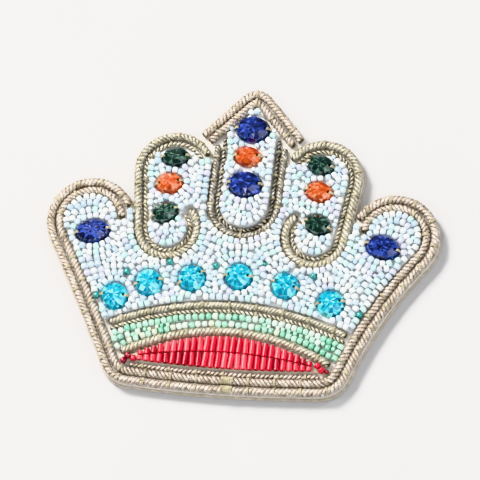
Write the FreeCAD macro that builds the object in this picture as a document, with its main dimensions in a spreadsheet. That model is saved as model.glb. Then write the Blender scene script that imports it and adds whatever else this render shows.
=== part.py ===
"""Sew-on crown motif: padded felt, metallic cord, beads and faceted stones.

The crown lies flat on its back: X runs across it, Y from its bottom edge up to its peak, Z out of its
face. The origin is the middle of the back. The crown is drawn on squared paper, `columns` squares wide
and `rows` high; widening or heightening the crown stretches the squares, while stones, cords, beads and
cloth keep their stock sizes.
"""
import FreeCAD, Part
import math
import os
import Sketcher
from FreeCAD import Placement, Rotation, Vector

doc = FreeCAD.newDocument("crown_motif")

# ---------------------------------------------------------------- sizes (mm, degrees, squares of the drawing)
SIZES = {
    "crown_width": 108.0,          # over both side lobes
    "crown_height": 88.0,          # from the bottom edge to the peak
    "columns": 108.0,              # squares of the drawing across the crown
    "rows": 88.0,                  # squares of the drawing up the crown
    # layers, from the back to the face
    "felt_thick": 1.4,
    "buckram_thick": 0.6,
    "cloth_thick": 0.4,
    "field_pad_thick": 1.0,
    "panel_pad_thick": 1.4,
    "lens_pad_thick": 1.0,
    "bead_layer": 1.6,             # height of the seed beads sewn over a pad
    "buckram_inset": 2.5,          # how far the buckram stays inside the felt's edge
    "cloth_inset": 0.4,            # how far the cloth stays inside the felt's edge
    # cords
    "border_strand": 2.4,          # diameters
    "panel_strand": 2.0,
    "fine_strand": 1.4,
    "cord_bite": 0.15,             # depth of the flat that each cord lies on
    "twin_gap": 0.1,               # between two strands laid side by side
    "end_gap": 0.15,               # between a strand's end and the strand it stops at
    "pad_gap": 0.25,               # between a strand and the padding beside it
    "stitch_thread": 0.4,
    "stitch_spacing": 7.0,
    "stitch_half_angle": 42.0,     # how far a stitch wraps down each side of its strand
    "join_stitches": 5.0,          # tight stitches over the join of the border cords
    # outline, in squares and radii
    "side_overlap": 3.0,           # how far each side lobe reaches in behind the lobe beside it
    "side_row": 47.2,
    "bow_radius": 338.0,
    "corner_radius": 9.0,
    "corner_column": 25.3,
    "right_waist_radius": 110.0,
    "left_waist_radius": 700.0,
    "lobe_radius": 11.6,
    "lobe_beside": 10.0,           # from the centre panel's side to the lobe's middle
    "lobe_row": 62.8,
    "hook_radius": 9.6,
    "hook_beside": 9.8,            # from the centre panel's side to the hook's middle
    "hook_row": 46.0,
    "hook_end_angle": 134.0,
    "shoulder_column": 16.2,
    "shoulder_row": 72.8,
    "tip_radius": 5.6,
    "inner_end_angle": 172.0,      # where the inner border strand stops, round the side lobe
    # centre panel
    "panel_half": 10.2,
    "panel_bottom_row": 44.1,
    # band across the foot of the crown
    "band_row": 26.4,
    "band_end_column": 33.0,
    "band_end_row": 19.3,
    "rail_row": 17.85,
    "rail_end_column": 28.0,
    "rail_end_row": 10.3,
    # stones: length, width, height, table, and how they are set
    "oval_length": 10.0,
    "oval_width": 8.0,
    "slim_width": 7.0,
    "small_length": 8.0,
    "small_width": 6.0,
    "round_across": 8.0,
    "stone_height": 3.0,
    "girdle_height": 0.6,
    "table_share": 0.52,           # table across, as a part of the stone across
    "break_share": 0.84,           # the same where the crown facets change slope
    "break_rise": 1.7,             # height above the girdle of that change
    "stone_gap": 0.3,              # from a stone to the beads round it
    "hole_across": 0.9,
    "hole_edge": 0.7,              # from a sewing hole to the stone's end
    "lobe_headroom": 0.6,          # from the lobe's cord down to its top stone
    "lobe_stone_gap": 1.8,         # from a lobe's top stone to the one below it
    "panel_stone_gap": 1.0,        # between the stones of the centre panel
    # tubes in the red lens
    "tube_across": 1.6,
    "tube_bore": 0.7,
    "tube_pitch": 1.75,
    "tube_gap": 0.25,              # from a tube's end to the lens's edge or ridge
    "shortest_tube": 1.0,
}

# every stone: the size aliases of its length and width, what it is placed from, its offset from that
# place, and its tilt; the row of rounds is counted in squares of the drawing, the others in millimetres
STONES = {
    "blue_stone_left": ("oval_length", "slim_width", "left side", 1.2, -3.6, 12.0),
    "blue_stone_right": ("oval_length", "slim_width", "right side", -2.6, -3.3, -12.0),
    "blue_stone_top": ("oval_length", "oval_width", "roof", 0.0, 0.0, 0.0),
    "orange_stone_centre": ("small_length", "small_width", "roof", -0.4, 0.0, 0.0),
    "blue_stone_low": ("oval_length", "oval_width", "roof", -0.3, 0.0, 0.0),
    "green_stone_left_top": ("small_length", "small_width", "left lobe", 0.0, 0.0, 6.0),
    "green_stone_right_top": ("small_length", "small_width", "right lobe", -0.6, 0.0, -12.0),
    "orange_stone_left": ("small_length", "small_width", "left lobe", -0.8, 0.0, 12.0),
    "orange_stone_right": ("small_length", "small_width", "right lobe", -0.2, 0.0, -8.0),
    "green_stone_left_low": ("small_length", "small_width", "left hook", -1.2, 4.1, 24.0),
    "green_stone_right_low": ("small_length", "small_width", "right hook", 0.7, 3.2, -18.0),
    "turquoise_stone_1": ("round_across", "round_across", "drawing", -31.8, 25.6, 0.0),
    "turquoise_stone_2": ("round_across", "round_across", "drawing", -23.0, 30.0, 15.0),
    "turquoise_stone_3": ("round_across", "round_across", "drawing", -11.5, 32.0, 30.0),
    "turquoise_stone_4": ("round_across", "round_across", "drawing", 1.1, 33.2, 0.0),
    "turquoise_stone_5": ("round_across", "round_across", "drawing", 13.9, 31.5, -15.0),
    "turquoise_stone_6": ("round_across", "round_across", "drawing", 26.5, 27.3, 10.0),
}

sheet = doc.addObject("Spreadsheet::Sheet", "sizes")
for label, (length, width, place, across_it, up_it, tilt) in STONES.items():
    SIZES[f"{label}_across"] = across_it
    SIZES[f"{label}_up"] = up_it
    SIZES[f"{label}_tilt"] = tilt
for number, (alias, value) in enumerate(SIZES.items(), start=1):
    sheet.set(f"A{number}", alias)
    sheet.set(f"B{number}", str(value))
    sheet.setAlias(f"B{number}", alias)
doc.recompute()


def size(alias):
    """A size read back from the sheet."""
    return float(sheet.get(alias))


COLUMN = size("crown_width") / size("columns")
ROW = size("crown_height") / size("rows")


def at(column, row):
    """A point of the drawing, counted from the middle of the crown's bottom edge."""
    return Vector(column * COLUMN, row * ROW - size("crown_height") / 2, 0)


def across(alias):
    """A radius or half width of the drawing, which grows with the crown's width."""
    return size(alias) * COLUMN


def polar(centre, radius, angle):
    """The point at an angle, in degrees, on a circle."""
    turn = math.radians(angle)
    return centre + Vector(radius * math.cos(turn), radius * math.sin(turn), 0)


def bearing(start, end):
    """The direction, in degrees, from one point to another."""
    return math.degrees(math.atan2(end.y - start.y, end.x - start.x))


def circles_meet(first, first_radius, second, second_radius, left):
    """Where two circles cross: the crossing on the left, or right, of the way from first to second."""
    gap = second - first
    along = (first_radius ** 2 - second_radius ** 2 + gap.Length ** 2) / (2 * gap.Length)
    aside = math.sqrt(first_radius ** 2 - along ** 2) * (1 if left else -1)
    unit = Vector(gap).normalize()
    return first + unit * along + Vector(-unit.y, unit.x, 0) * aside


def line_meets_circle(point, direction, centre, radius, last):
    """Where a line crosses a circle: its last crossing, or its first."""
    middle = (centre - point).dot(direction)
    reach = math.sqrt(radius ** 2 - (centre - point).Length ** 2 + middle ** 2)
    return point + direction * (middle + (reach if last else -reach))


def arc(centre, radius, start, end):
    """An arc from one angle to another, the short way its angles say, as three points."""
    return [polar(centre, radius, angle) for angle in (start, (start + end) / 2, end)]


def arc_through(middle_point, end_point):
    """Centre and radius of an arc that is symmetrical about the crown's middle line."""
    drop = middle_point.y - end_point.y
    radius = (end_point.x ** 2 + drop ** 2) / (2 * drop)
    return middle_point - Vector(0, radius, 0), radius


def mirrored(points):
    """The same run of points on the other side of the crown, taken the other way."""
    return [Vector(-point.x, point.y, 0) for point in reversed(points)]


# ---------------------------------------------------------------- the drawing
BOW = size("bow_radius")
BOW_CENTRE = at(0, 0) + Vector(0, BOW, 0)
CORNER = across("corner_radius")
CORNER_X = size("corner_column") * COLUMN
CORNER_CENTRE = BOW_CENTRE + Vector(CORNER_X, -math.sqrt((BOW - CORNER) ** 2 - CORNER_X ** 2), 0)
LOBE = across("lobe_radius")
LOBE_CENTRE = at(size("panel_half") + size("lobe_beside"), size("lobe_row"))
SIDE = (size("crown_width") / 2 - LOBE_CENTRE.x - LOBE + across("side_overlap")) / 2
SIDE_CENTRE = Vector(size("crown_width") / 2 - SIDE, at(0, size("side_row")).y, 0)
HOOK = across("hook_radius")
HOOK_CENTRE = at(size("panel_half") + size("hook_beside"), size("hook_row"))
TIP = size("tip_radius")
TIP_CENTRE = at(0, size("rows")) - Vector(0, TIP, 0)
PANEL = across("panel_half")
PANEL_CENTRE = at(0, size("panel_bottom_row")) + Vector(0, PANEL, 0)
BAND_CENTRE, BAND = arc_through(at(0, size("band_row")), at(size("band_end_column"), size("band_end_row")))
RAIL_CENTRE, RAIL = arc_through(at(0, size("rail_row")), at(size("rail_end_column"), size("rail_end_row")))

# direction, in degrees, square to the straight run down each lobe's outer side
lobe_to_hook = HOOK_CENTRE - LOBE_CENTRE
LOBE_SQUARE = bearing(LOBE_CENTRE, HOOK_CENTRE) + math.degrees(math.acos((LOBE - HOOK) / lobe_to_hook.Length))

# direction square to the roof, and the roof's slope down to the right
shoulder = at(size("shoulder_column"), size("shoulder_row"))
reach = shoulder - TIP_CENTRE
ROOF_SQUARE = bearing(TIP_CENTRE, shoulder) + math.degrees(math.acos(TIP / reach.Length))
ROOF_DOWN = polar(Vector(0, 0, 0), 1, ROOF_SQUARE - 90)

# insets of the strands' middles from the felt's edge
MARGIN = size("cloth_inset")
THICK, FINE, MEDIUM = size("border_strand"), size("fine_strand"), size("panel_strand")
GAP, END = size("twin_gap"), size("end_gap")
OUTER = MARGIN + THICK / 2
INNER = OUTER + THICK + GAP
LOBE_INNER = OUTER + THICK / 2 + GAP + FINE / 2
THIRD = INNER + THICK / 2 + GAP + FINE / 2


def waist(radius_alias, inset):
    """Waist arc of one side, bulging inwards: its centre, and its radius at an inset from the edge."""
    radius = across(radius_alias)
    centre = circles_meet(CORNER_CENTRE, CORNER + radius, SIDE_CENTRE, SIDE + radius, False)
    return centre, radius + inset


def foot_and_side(radius_alias, inset, end_angle):
    """Runs of the right side from the bottom arc's end, round the corner, waist and side lobe."""
    centre, radius = waist(radius_alias, inset)
    bow_end = bearing(BOW_CENTRE, CORNER_CENTRE)
    corner_end = bearing(centre, CORNER_CENTRE) + 180
    side_start = bearing(centre, SIDE_CENTRE) + 180
    corner_end -= 360 * round(corner_end / 360)
    side_start -= 360 * round(side_start / 360)
    return [
        arc(CORNER_CENTRE, CORNER - inset, bow_end, corner_end),
        arc(centre, radius, corner_end + 180, side_start + 180),
        arc(SIDE_CENTRE, SIDE - inset, side_start, end_angle),
    ]


def bow(inset):
    """The bottom arc, from left to right."""
    swing = bearing(BOW_CENTRE, CORNER_CENTRE) + 90
    return arc(BOW_CENTRE, BOW - inset, -90 - swing, -90 + swing)


def lobe_line_point(inset):
    """A point of the straight run down the lobe's outer side, at an inset from the edge."""
    return polar(LOBE_CENTRE, LOBE - inset, LOBE_SQUARE)


LOBE_DOWN = polar(Vector(0, 0, 0), 1, LOBE_SQUARE - 90)


def outline(inset):
    """The closed outline of the crown, at an inset from the felt's edge."""
    notch = line_meets_circle(lobe_line_point(inset), LOBE_DOWN, SIDE_CENTRE, SIDE - inset, False)
    notch_angle = bearing(SIDE_CENTRE, notch)
    roof_point = polar(TIP_CENTRE, TIP - inset, ROOF_SQUARE)
    roof_foot = line_meets_circle(roof_point, ROOF_DOWN, LOBE_CENTRE, LOBE - inset, False)
    upper = [
        [notch, lobe_line_point(inset)],
        arc(LOBE_CENTRE, LOBE - inset, LOBE_SQUARE, bearing(LOBE_CENTRE, roof_foot)),
        [roof_foot, roof_point],
    ]
    right = foot_and_side("right_waist_radius", inset, notch_angle) + upper
    left = [mirrored(run) for run in reversed(foot_and_side("left_waist_radius", inset, notch_angle) + upper)]
    return [bow(inset)] + right + [arc(TIP_CENTRE, TIP - inset, ROOF_SQUARE, 180 - ROOF_SQUARE)] + left


def border_route(inset, end_angle):
    """A border strand's route, from the left notch round the foot of the crown to the right notch."""
    left = [mirrored(run) for run in reversed(foot_and_side("left_waist_radius", inset, end_angle))]
    return left + [bow(inset)] + foot_and_side("right_waist_radius", inset, end_angle)


def lobe_route(inset, start_angle):
    """A right lobe strand's route: over the lobe, down its outer side and round the hook."""
    return [
        arc(LOBE_CENTRE, LOBE - inset, start_angle, LOBE_SQUARE),
        [lobe_line_point(inset), polar(HOOK_CENTRE, HOOK - inset, LOBE_SQUARE)],
        arc(HOOK_CENTRE, HOOK - inset, LOBE_SQUARE, size("hook_end_angle") - 360),
    ]


def roof_route(inset, strand):
    """A roof strand's route over the peak, stopping clear of each lobe's cord."""
    clear = LOBE - MARGIN + strand / 2 + END
    roof_point = polar(TIP_CENTRE, TIP - inset, ROOF_SQUARE)
    foot = line_meets_circle(roof_point, ROOF_DOWN, LOBE_CENTRE, clear, False)
    slope = [roof_point, foot]
    return [mirrored(slope), arc(TIP_CENTRE, TIP - inset, 180 - ROOF_SQUARE, ROOF_SQUARE), slope]


def panel_route(inset, strand):
    """A strand's route round the centre panel: down one leg, round the foot and up the other."""
    radius = PANEL - inset
    under_roof = INNER + THICK / 2 + END + strand / 2
    roof_point = polar(TIP_CENTRE, TIP - under_roof, ROOF_SQUARE)
    top = roof_point + ROOF_DOWN * ((radius - roof_point.x) / ROOF_DOWN.x)
    leg = [Vector(radius, PANEL_CENTRE.y, 0), top]
    return [mirrored(leg), arc(PANEL_CENTRE, radius, -180, 0), leg]


def bar_route(centre, radius, strand):
    """A strand's route along an arc across the crown's foot, stopping clear of the border."""
    inset = INNER + THICK / 2 + END + strand / 2
    ends = []
    for alias in ("right_waist_radius", "left_waist_radius"):
        waist_centre, waist_radius = waist(alias, inset)
        ends.append(circles_meet(centre, radius, waist_centre, waist_radius, True))
    return [arc(centre, radius, 180 - bearing(centre, ends[1]), bearing(centre, ends[0]))]


# ---------------------------------------------------------------- ways to make a piece
def curve(run):
    """The line or arc of one run of two or three points."""
    return Part.LineSegment(*run) if len(run) == 2 else Part.ArcOfCircle(*run)


def wire(route):
    """The wire that follows a route."""
    return Part.Wire([curve(run).toShape() for run in route])


def heading(run):
    """The direction in which a run sets off."""
    ahead = run[1] - run[0]
    if len(run) == 2:
        return ahead.normalize()
    spoke = run[0] - curve(run).Center
    square = Vector(-spoke.y, spoke.x, 0).normalize()
    return square if square.dot(ahead) > 0 else -square


def plane_of(body, role):
    """One of a body's own origin planes."""
    return next(feature for feature in body.Origin.OriginFeatures if feature.Role == role)


def sketch_on(body, name, height):
    """A sketch in a body, lying parallel to the crown's back at a height given as an expression."""
    sketch = body.newObject("Sketcher::SketchObject", name)
    sketch.AttachmentSupport = [(plane_of(body, "XY_Plane"), "")]
    sketch.MapMode = "FlatFace"
    sketch.setExpression("AttachmentOffset.Base.z", height)
    return sketch


def join_runs(sketch, closed):
    """Tie each run of a sketch to the next, end to start, where the points meet."""
    count = sketch.GeometryCount
    pairs = [(number, number + 1) for number in range(count - 1)]
    if closed:
        pairs.append((count - 1, 0))
    for first, second in pairs:
        ends = min(
            ((sketch.getPoint(first, one) - sketch.getPoint(second, two)).Length, one, two)
            for one in (1, 2) for two in (1, 2)
        )
        sketch.addConstraint(Sketcher.Constraint("Coincident", first, ends[1], second, ends[2]))


nodes = []


def new_body(label):
    """An empty body for one node."""
    body = doc.addObject("PartDesign::Body", label)
    body.Label = label
    nodes.append(body)
    return body


CLOTH_TOP = "sizes.felt_thick + sizes.buckram_thick + sizes.cloth_thick"


def cord(label, route, strand_alias):
    """One strand of cord along a route, with a narrow flat where it lies on the cloth."""
    body = new_body(label)
    middle = f"{CLOTH_TOP} + sizes.{strand_alias} / 2 - sizes.cord_bite"
    path = sketch_on(body, f"{label}_route", middle)
    for run in route:
        path.addGeometry(curve(run), False)
    join_runs(path, False)

    radius = size(strand_alias) / 2
    low = radius - size("cord_bite")
    half_flat = math.sqrt(radius ** 2 - low ** 2)
    start, ahead = route[0][0], heading(route[0])
    section = sketch_on(body, f"{label}_section", middle)
    section.AttachmentOffset = Placement(
        Vector(start.x, start.y, 0),
        Rotation(Vector(-ahead.y, ahead.x, 0), Vector(0, 0, 1), ahead, "ZXY"),
    )
    top, side = Vector(0, radius, 0), Vector(radius, 0, 0)
    flat_end = Vector(half_flat, -low, 0)
    section.addGeometry(Part.ArcOfCircle(flat_end, side, top), False)
    section.addGeometry(Part.ArcOfCircle(top, -side, Vector(-half_flat, -low, 0)), False)
    section.addGeometry(Part.LineSegment(Vector(-half_flat, -low, 0), flat_end), False)
    join_runs(section, True)
    for half in (0, 1):
        section.addConstraint(Sketcher.Constraint("Coincident", half, 3, -1, 1))
    section.addConstraint(Sketcher.Constraint("Horizontal", 2))
    section.addConstraint(Sketcher.Constraint("PointOnObject", 0, 2, -2))
    across_rule = section.addConstraint(Sketcher.Constraint("Radius", 0, radius))
    section.renameConstraint(across_rule, "radius")
    section.setExpression("Constraints.radius", f"sizes.{strand_alias} / 2")
    low_rule = section.addConstraint(Sketcher.Constraint("DistanceY", 2, 1, -1, 1, low))
    section.renameConstraint(low_rule, "low")
    section.setExpression("Constraints.low", f"sizes.{strand_alias} / 2 - sizes.cord_bite")

    sweep = body.newObject("PartDesign::AdditivePipe", f"{label}_strand")
    sweep.Profile = section
    sweep.Spine = path
    return body


def slab(label, region, height, thickness):
    """A node that stands on a flat region, at a height and thickness given as expressions."""
    face = doc.addObject("Part::Feature", f"{label}_region")
    face.Shape = region
    piece = doc.addObject("Part::Extrusion", label)
    piece.Label = label
    piece.Base = face
    piece.DirMode = "Custom"
    piece.Dir = Vector(0, 0, 1)
    piece.Solid = True
    piece.setExpression("LengthFwd", thickness)
    piece.setExpression("Placement.Base.z", height)
    nodes.append(piece)


def group(label, solids):
    """A node of many small solids of one kind."""
    piece = doc.addObject("Part::Feature", label)
    piece.Label = label
    piece.Shape = Part.Compound(solids)
    nodes.append(piece)


def sheet_of(label, inset, height, thickness):
    """A flat layer with the crown's outline, at an inset from the felt's edge."""
    body = new_body(label)
    drawing = sketch_on(body, f"{label}_outline", height)
    for run in outline(inset):
        drawing.addGeometry(curve(run), False)
    join_runs(drawing, True)
    pad = body.newObject("PartDesign::Pad", f"{label}_layer")
    pad.Profile = drawing
    pad.setExpression("Length", thickness)


# ---------------------------------------------------------------- felt, buckram and cloth
FELT_TOP = "sizes.felt_thick"
BUCKRAM_TOP = "sizes.felt_thick + sizes.buckram_thick"
cloth_top = size("felt_thick") + size("buckram_thick") + size("cloth_thick")

sheet_of("backing_felt", 0, "0", "sizes.felt_thick")
stiffening = Part.Face(wire(outline(0)).makeOffset2D(-size("buckram_inset")))
slab("stiffening_buckram", stiffening, FELT_TOP, "sizes.buckram_thick")
sheet_of("face_cloth", MARGIN, BUCKRAM_TOP, "sizes.cloth_thick")

# ---------------------------------------------------------------- cords
# every strand: name, route, size; the left lobe's strands mirror the right's
lobe_start_x = PANEL + THICK / 2 + END
lobe_start = Vector(lobe_start_x, 0, 0)
lobe_start = line_meets_circle(lobe_start, Vector(0, 1, 0), LOBE_CENTRE, LOBE - OUTER, True)
LOBE_START = bearing(LOBE_CENTRE, lobe_start)

# the outer border strand runs on until it meets the lobe's cord
stop_line = lobe_line_point(MARGIN - THICK / 2 - END)
stop = line_meets_circle(stop_line, LOBE_DOWN, SIDE_CENTRE, SIDE - OUTER, False)
OUTER_STOP = bearing(SIDE_CENTRE, stop)

third_swing = bearing(BOW_CENTRE, CORNER_CENTRE) + 90
panel_outer = MEDIUM / 2
panel_inner = MEDIUM + GAP + FINE / 2
band_outer = MEDIUM / 2
band_inner = MEDIUM + GAP + FINE / 2

strands = [
    ("border_cord_outer", border_route(OUTER, OUTER_STOP), "border_strand"),
    ("border_cord_inner", border_route(INNER, size("inner_end_angle")), "border_strand"),
    ("foot_cord", [arc(BOW_CENTRE, BOW - THIRD, -90 - third_swing, -90 + third_swing)], "fine_strand"),
    ("roof_cord_outer", roof_route(OUTER, THICK), "border_strand"),
    ("roof_cord_inner", roof_route(INNER, THICK), "border_strand"),
    ("panel_cord_outer", panel_route(panel_outer, MEDIUM), "panel_strand"),
    ("panel_cord_inner", panel_route(panel_inner, FINE), "fine_strand"),
    ("band_cord_upper", bar_route(BAND_CENTRE, BAND - band_outer, MEDIUM), "panel_strand"),
    ("band_cord_lower", bar_route(BAND_CENTRE, BAND - band_inner, FINE), "fine_strand"),
    ("rail_cord", bar_route(RAIL_CENTRE, RAIL, THICK), "border_strand"),
]
for part, inset, alias in (("outer", OUTER, "border_strand"), ("inner", LOBE_INNER, "fine_strand")):
    right = lobe_route(inset, LOBE_START)
    strands.append((f"right_lobe_cord_{part}", right, alias))
    strands.append((f"left_lobe_cord_{part}", [mirrored(run) for run in reversed(right)], alias))
for label, route, alias in strands:
    cord(label, route, alias)

# ---------------------------------------------------------------- couching stitches over the cords


def stitch(spot, ahead, strand):
    """A thread lying over the top of a strand, square to it."""
    thread = size("stitch_thread") / 2
    half = math.radians(size("stitch_half_angle"))
    side = Vector(-ahead.y, ahead.x, 0)
    start = Vector(0, 0, 1) * math.cos(half) + side * math.sin(half)
    ring = Part.makeTorus(
        strand / 2 + thread, thread, Vector(), Vector(0, 0, 1), 0, 360, 2 * size("stitch_half_angle")
    )
    middle = Vector(spot.x, spot.y, cloth_top + strand / 2 - size("cord_bite"))
    ring.Placement = Placement(middle, Rotation(start, ahead.cross(start), ahead, "XZY"))
    return ring


stitches = []
for label, route, alias in strands:
    line = wire(route)
    count = max(1, round(line.Length / size("stitch_spacing")))
    for number in range(count):
        done = (number + 0.5) * line.Length / count
        for edge in line.OrderedEdges:
            if done <= edge.Length:
                break
            done -= edge.Length
        place = edge.getParameterByLength(done)
        stitches.append(stitch(edge.valueAt(place), edge.tangentAt(place), size(alias)))
group("couching_stitches", stitches)

joins = []
join_count = int(size("join_stitches"))
for inset in (OUTER, INNER):
    for number in range(join_count):
        step = (number - (join_count - 1) / 2) * (size("stitch_thread") + GAP) + size("stitch_spacing") / 4
        height = BOW_CENTRE.y - math.sqrt((BOW - inset) ** 2 - step ** 2)
        joins.append(stitch(Vector(step, height, 0), Vector(1, 0, 0), THICK))
group("join_stitches", joins)

# ---------------------------------------------------------------- regions between the cords
inside = Part.Face(wire(outline(MARGIN)))
channels = []
for label, route, alias in strands:
    channel = wire(route).makeOffset2D(size(alias) / 2 + size("pad_gap"))
    channels.append(Part.Face(channel))
open_faces = inside.cut(channels).Faces


def region_at(spot):
    """The region between the cords that holds a point of the drawing."""
    return next(face for face in open_faces if face.isInside(spot, 1e-6, True))


field = region_at(Vector(0, (BAND_CENTRE.y + BAND + PANEL_CENTRE.y - PANEL) / 2, 0))
panel = region_at(PANEL_CENTRE)
band = region_at(Vector(0, (BAND_CENTRE.y + BAND - band_inner + RAIL_CENTRE.y + RAIL) / 2, 0))
lens = region_at(Vector(0, (RAIL_CENTRE.y + RAIL + BOW_CENTRE.y - BOW + THIRD) / 2, 0))

# ---------------------------------------------------------------- padding and the layers of seed beads
slab("field_padding", field, CLOTH_TOP, "sizes.field_pad_thick")
slab("panel_padding", panel, CLOTH_TOP, "sizes.panel_pad_thick")
slab("lens_padding", lens, CLOTH_TOP, "sizes.lens_pad_thick")


def oval(centre, length, width, tilt):
    """A flat oval, or a round when its length and width are alike."""
    if length == width:
        edge = Part.Circle(centre, Vector(0, 0, 1), length / 2)
    else:
        edge = Part.Ellipse(Vector(), length / 2, width / 2)
    face = Part.Face(Part.Wire(edge.toShape()))
    if length != width:
        face.Placement = Placement(centre, Rotation(Vector(0, 0, 1), tilt))
    return face


def under_roof(length, width):
    """Where an oval's middle lies when it hangs under the roof's inner cord, clear of it on both sides."""
    square = math.radians(ROOF_SQUARE)
    support = math.hypot(length / 2 * math.cos(square), width / 2 * math.sin(square))
    inset = INNER + THICK / 2 + size("stone_gap") + support
    roof_point = polar(TIP_CENTRE, TIP - inset, ROOF_SQUARE)
    return roof_point - ROOF_DOWN * (roof_point.x / ROOF_DOWN.x)


def left_of(point):
    """The same place on the left side of the crown."""
    return Vector(-point.x, point.y, 0)


# the middle of each stone
small_drop = Vector(0, size("small_width"), 0)
lobe_top = LOBE_CENTRE + Vector(0, LOBE - LOBE_INNER - FINE / 2 - size("lobe_headroom"), 0) - small_drop / 2
lobe_next = lobe_top - small_drop - Vector(0, size("lobe_stone_gap"), 0)
panel_top = under_roof(size("oval_length"), size("oval_width"))
panel_drop = Vector(0, (size("oval_width") + size("small_width")) / 2 + size("panel_stone_gap"), 0)
PLACES = {
    "left side": left_of(SIDE_CENTRE),
    "right side": SIDE_CENTRE,
    "left hook": left_of(HOOK_CENTRE),
    "right hook": HOOK_CENTRE,
    "left lobe": left_of(lobe_top),
    "right lobe": lobe_top,
    "roof": panel_top,
    "drawing": Vector(),
}
spots = {}
for label, (length, width, place, across_it, up_it, tilt) in STONES.items():
    offset = Vector(size(f"{label}_across"), size(f"{label}_up"), 0)
    if place == "drawing":
        offset = at(offset.x, offset.y)
    spots[label] = PLACES[place] + offset
spots["orange_stone_left"].y = lobe_next.y
spots["orange_stone_right"].y = lobe_next.y
spots["orange_stone_centre"] -= panel_drop
spots["blue_stone_low"] -= panel_drop * 2

openings = []
for label, (length, width, place, across_it, up_it, tilt) in STONES.items():
    spread = 2 * size("stone_gap")
    openings.append(oval(spots[label], size(length) + spread, size(width) + spread, size(f"{label}_tilt")))

FIELD_TOP = f"{CLOTH_TOP} + sizes.field_pad_thick"
PANEL_TOP = f"{CLOTH_TOP} + sizes.panel_pad_thick"
slab("field_beads", field.cut(openings).Faces[0], FIELD_TOP, "sizes.bead_layer")
slab("panel_beads", panel.cut(openings), PANEL_TOP, "sizes.bead_layer")
slab("band_beads", band, CLOTH_TOP, "sizes.bead_layer")

# ---------------------------------------------------------------- faceted stones
FACETS = 12


def ring_sketch(body, name, label, share, height):
    """A ring of the stone's facet corners, as a share of its size, at a height given as an expression."""
    length, width = (size(alias) / 2 * share for alias in STONES[label][:2])
    corners = []
    for number in range(FACETS):
        turn = 2 * math.pi * (number + 0.5) / FACETS
        corners.append(Vector(length * math.cos(turn), width * math.sin(turn), 0))
    ring = sketch_on(body, name, height)
    for first, second in zip(corners, corners[1:] + corners[:1]):
        ring.addGeometry(Part.LineSegment(first, second), False)
    join_runs(ring, True)
    return ring


def stone(label):
    """A flat-backed faceted stone with a sewing hole near each end."""
    body = new_body(label)
    rings = [
        ring_sketch(body, f"{label}_back", label, 1, "0"),
        ring_sketch(body, f"{label}_girdle", label, 1, "sizes.girdle_height"),
        ring_sketch(body, f"{label}_break", label, size("break_share"),
                    "sizes.girdle_height + sizes.break_rise"),
        ring_sketch(body, f"{label}_table", label, size("table_share"), "sizes.stone_height"),
    ]
    cut_stone = body.newObject("PartDesign::AdditiveLoft", f"{label}_facets")
    cut_stone.Profile = rings[0]
    cut_stone.Sections = rings[1:]
    cut_stone.Ruled = True

    holes = sketch_on(body, f"{label}_holes", "0")
    reach_out = size(STONES[label][0]) / 2 - size("hole_edge") - size("hole_across") / 2
    for number, side in enumerate((1, -1)):
        centre = Vector(side * reach_out, 0, 0)
        holes.addGeometry(Part.Circle(centre, Vector(0, 0, 1), size("hole_across") / 2), False)
        holes.addConstraint(Sketcher.Constraint("PointOnObject", number, 3, -1))
        rule = holes.addConstraint(Sketcher.Constraint("DistanceX", -1, 1, number, 3, centre.x))
        holes.renameConstraint(rule, f"place_{number}")
        sign = "" if side > 0 else "-1 * "
        middle = f"(sizes.{STONES[label][0]} / 2 - sizes.hole_edge - sizes.hole_across / 2)"
        holes.setExpression(f"Constraints.place_{number}", f"{sign}{middle}")
        rule = holes.addConstraint(Sketcher.Constraint("Diameter", number, size("hole_across")))
        holes.renameConstraint(rule, f"bore_{number}")
        holes.setExpression(f"Constraints.bore_{number}", "sizes.hole_across")
    bores = body.newObject("PartDesign::Pocket", f"{label}_bores")
    bores.Profile = holes
    bores.Reversed = True
    bores.setExpression("Length", "sizes.stone_height")

    body.Placement = Placement(spots[label], Rotation())
    body.setExpression("Placement.Base.z", PANEL_TOP if STONES[label][2] == "roof" else FIELD_TOP)
    body.setExpression("Placement.Rotation.Angle", f"sizes.{label}_tilt")


for label in STONES:
    stone(label)

# ---------------------------------------------------------------- red tube beads


def tube_bead(long):
    """A tube bead with its thread hole along Z, standing on the origin."""
    hole = Part.makeCylinder(size("tube_bore") / 2, long)
    return Part.makeCylinder(size("tube_across") / 2, long).cut(hole)


# two rows of tubes fill the lens, each cut to the height left above or below the lens's middle
tubes = []
tube_middle = cloth_top + size("lens_pad_thick") + size("tube_across") / 2
rail_clear = RAIL - THICK / 2 - size("pad_gap") - size("tube_gap")
foot_clear = BOW - THIRD - FINE / 2 - size("pad_gap") - size("tube_gap")
lens_half = int(lens.BoundBox.XLength / 2 / size("tube_pitch"))
for number in range(-lens_half, lens_half + 1):
    place = number * size("tube_pitch")
    flank = abs(place) + size("tube_across") / 2
    top = RAIL_CENTRE.y + math.sqrt(rail_clear ** 2 - flank ** 2)
    bottom = BOW_CENTRE.y - math.sqrt(foot_clear ** 2 - flank ** 2)
    long = (top - bottom - size("tube_gap")) / 2
    if long < size("shortest_tube"):
        continue
    for start in (bottom, top - long):
        tube = tube_bead(long)
        tube.Placement = Placement(Vector(place, start, tube_middle), Rotation(Vector(1, 0, 0), -90))
        tubes.append(tube)
group("red_tubes", tubes)

# ---------------------------------------------------------------- check and write
doc.recompute()
for item in doc.Objects:
    if "Invalid" in item.State or "Error" in item.State:
        raise RuntimeError(f"{item.Name} failed: {item.State}")
for node in nodes:
    if node.Shape.isNull() or not node.Shape.isValid():
        raise RuntimeError(f"{node.Label} has no valid shape")

os.makedirs("parts", exist_ok=True)
for node in nodes:
    node.Shape.exportStep(f"parts/{node.Label}.step")
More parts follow.
